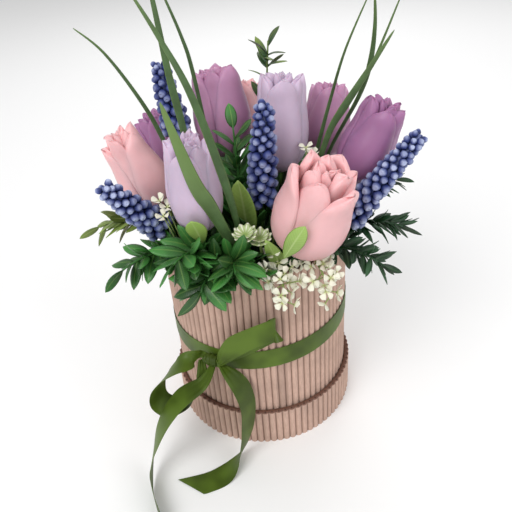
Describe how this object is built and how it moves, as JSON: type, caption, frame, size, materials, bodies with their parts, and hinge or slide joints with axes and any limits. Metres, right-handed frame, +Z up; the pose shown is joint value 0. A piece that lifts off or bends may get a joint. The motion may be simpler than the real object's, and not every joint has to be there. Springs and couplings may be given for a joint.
{
  "type": "flower box",
  "caption": "Round corrugated kraft hat box standing in its upturned lid, tied with a satin ribbon bow and filled with artificial tulips, grape hyacinths and greenery.",
  "frame": {"origin": "centre of the lid's underside, on the table", "axes": "+Z up along the box axis, +Y away from the viewer of the bow side, +X to the viewer's right"},
  "size_m": [0.2186, 0.2131, 0.2962],
  "materials": {
    "board_core": "matte greyish brown board",
    "kraft_paper": "matte kraft paper, fluted",
    "floral_foam": "dry floral foam",
    "olive_satin": "woven satin with a soft sheen",
    "tulip_pink": "cast, waxy satin",
    "tulip_lilac": "cast, waxy satin",
    "tulip_mauve": "cast, waxy satin",
    "tulip_purple": "cast, waxy satin",
    "green_stem": "moulded",
    "muscari_blue": "moulded",
    "grass_green": "moulded",
    "leaf_light_green": "moulded",
    "leaf_olive": "moulded",
    "leaf_green": "moulded",
    "leaf_dark_green": "moulded",
    "floret_cream": "moulded",
    "rosette_cream": "moulded"
  },
  "bodies": {
    "lid_tray": {"lid_disc": "board_core", "lid_rim": "board_core", "lid_wrap": "kraft_paper"},
    "flower_box": {"box_bottom": "board_core", "box_wall": "board_core", "box_wrap": "kraft_paper", "floral_foam": "floral_foam", "ribbon_band": "olive_satin", "bow_knot": "olive_satin", "bow_loop_left": "olive_satin", "bow_loop_right": "olive_satin", "bow_tail_left": "olive_satin", "bow_tail_right": "olive_satin", "tulip_head_1": "tulip_pink", "tulip_head_2": "tulip_lilac", "tulip_head_3": "tulip_pink", "tulip_head_4": "tulip_mauve", "tulip_head_5": "tulip_lilac", "tulip_head_6": "tulip_purple", "tulip_head_7": "tulip_purple", "tulip_head_8": "tulip_mauve", "tulip_head_9": "tulip_pink", "tulip_stem_1": "green_stem", "tulip_stem_2": "green_stem", "tulip_stem_3": "green_stem", "tulip_stem_4": "green_stem", "tulip_stem_5": "green_stem", "tulip_stem_6": "green_stem", "tulip_stem_7": "green_stem", "tulip_stem_8": "green_stem", "tulip_stem_9": "green_stem", "muscari_spike_1": "muscari_blue", "muscari_spike_2": "muscari_blue", "muscari_spike_3": "muscari_blue", "muscari_spike_4": "muscari_blue", "muscari_stem_1": "green_stem", "muscari_stem_2": "green_stem", "muscari_stem_3": "green_stem", "muscari_stem_4": "green_stem", "grass_left": "grass_green", "grass_right": "grass_green", "tulip_leaves": "leaf_light_green", "ruscus_spray_front": "leaf_green", "ruscus_spray_middle": "leaf_green", "ruscus_spray_corner": "leaf_green", "ruscus_spray_left": "leaf_green", "ruscus_spray_back": "leaf_green", "ruscus_spray_back_left": "leaf_green", "olive_spray": "leaf_olive", "myrtle_spray_right": "leaf_dark_green", "myrtle_spray_front": "leaf_dark_green", "myrtle_spray_back": "leaf_dark_green", "centre_sprig": "leaf_green", "upright_sprig": "leaf_dark_green", "white_spray_right": "floret_cream", "white_spray_left": "floret_cream", "rosette_pick": "rosette_cream"}
  },
  "joints": [
    {"name": "box_lift", "type": "slide", "parent": "lid_tray", "child": "flower_box", "axis": [0, 0, 1], "range_m": [0, 0.05]}
  ]
}
